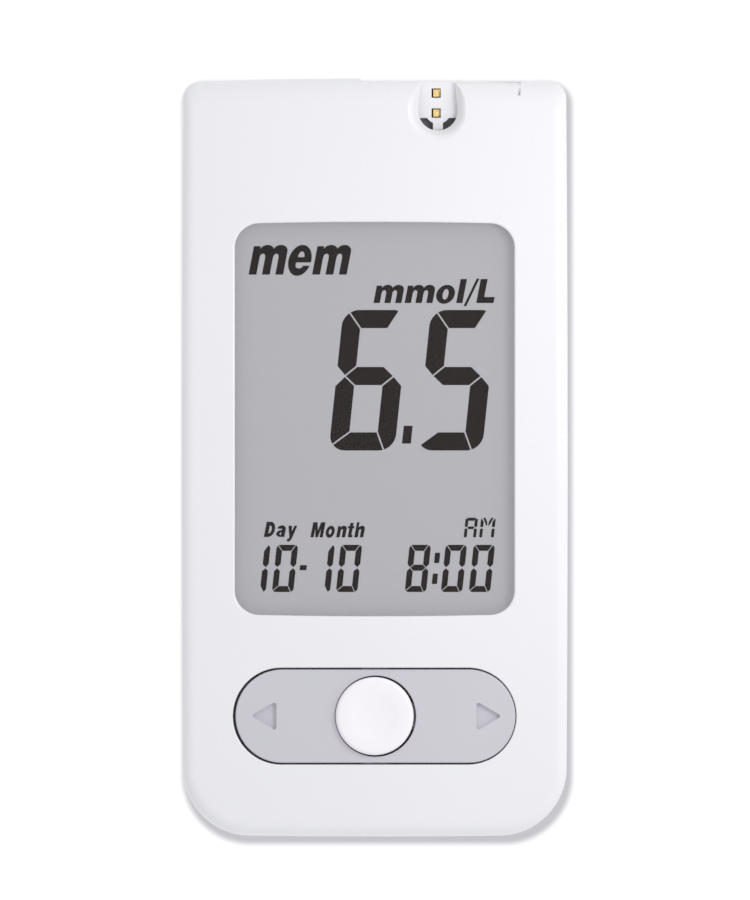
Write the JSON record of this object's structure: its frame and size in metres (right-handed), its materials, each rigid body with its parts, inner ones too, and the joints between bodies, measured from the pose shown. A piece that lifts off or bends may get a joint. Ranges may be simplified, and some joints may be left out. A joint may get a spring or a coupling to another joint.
{
  "type": "blood glucose meter",
  "caption": "Pocket blood glucose meter: white case with a large display, a rocker key with a round button in its middle, a top strip port and a sliding battery door.",
  "frame": {"origin": "middle of the back, on the plane that the meter lies on", "axes": "+Y along the case towards the strip port, +Z out of the face, +X to the right as the display is read"},
  "size_m": [0.0484, 0.0952, 0.0154],
  "materials": {
    "case_white": "gloss",
    "clear_lens": "clear gloss",
    "black_tape": "matte",
    "display_film": "satin",
    "display_glass": "gloss",
    "frame_plastic": "matte",
    "elastomer": "matte",
    "key_grey": "satin",
    "button_white": "satin gloss",
    "spring_steel": "bright",
    "board_green": "satin",
    "gold_plate": "polished",
    "chip_black": "matte",
    "lead_tin": "bright",
    "chip_ceramic": "matte",
    "port_white": "satin",
    "cell_steel": "satin",
    "cell_cap": "satin",
    "gasket_black": "matte",
    "label_grey": "satin"
  },
  "bodies": {
    "root": {"front_cover": "case_white", "rear_cover": "case_white", "display_lens": "clear_lens", "lens_tape": "black_tape", "lcd_front_polarizer": "display_film", "lcd_front_glass": "display_glass", "lcd_rear_glass": "display_glass", "lcd_reflector": "display_film", "lcd_holder": "frame_plastic", "zebra_strip": "elastomer", "key_frame": "frame_plastic", "left_dome": "spring_steel", "main_dome": "spring_steel", "right_dome": "spring_steel", "circuit_board": "board_green", "contact_pads": "gold_plate", "microcontroller": "chip_black", "measuring_chip": "chip_black", "memory_chip": "chip_black", "chip_leads": "lead_tin", "clock_crystal": "lead_tin", "buzzer": "chip_black", "small_parts": "chip_ceramic", "strip_port": "port_white", "strip_connector": "chip_black", "strip_contacts": "gold_plate", "cell_cans": "cell_steel", "cell_caps": "cell_cap", "cell_gaskets": "gasket_black", "negative_contacts": "spring_steel", "positive_contacts": "spring_steel", "case_screws": "cell_steel", "back_label": "label_grey"},
    "rocker_key": {"rocker_key": "key_grey"},
    "main_button": {"main_button": "button_white"},
    "battery_door": {"battery_door": "case_white"}
  },
  "joints": [
    {"name": "rocker_tilt", "type": "hinge", "parent": "root", "child": "rocker_key", "pos_m": [0.00012, -0.0325, 0.0122], "axis": [0, 1, 0], "range_deg": [-1.5, 1.5], "stiffness_Nm_per_rad": 0.8, "deforming": ["left_dome", "right_dome"]},
    {"name": "main_press", "type": "slide", "parent": "root", "child": "main_button", "axis": [0, 0, -1], "range_m": [0, 0.0004], "stiffness_N_per_m": 1500, "deforming": ["main_dome"]},
    {"name": "door_slide", "type": "slide", "parent": "root", "child": "battery_door", "axis": [0, -1, 0], "range_m": [0, 0.03]}
  ]
}
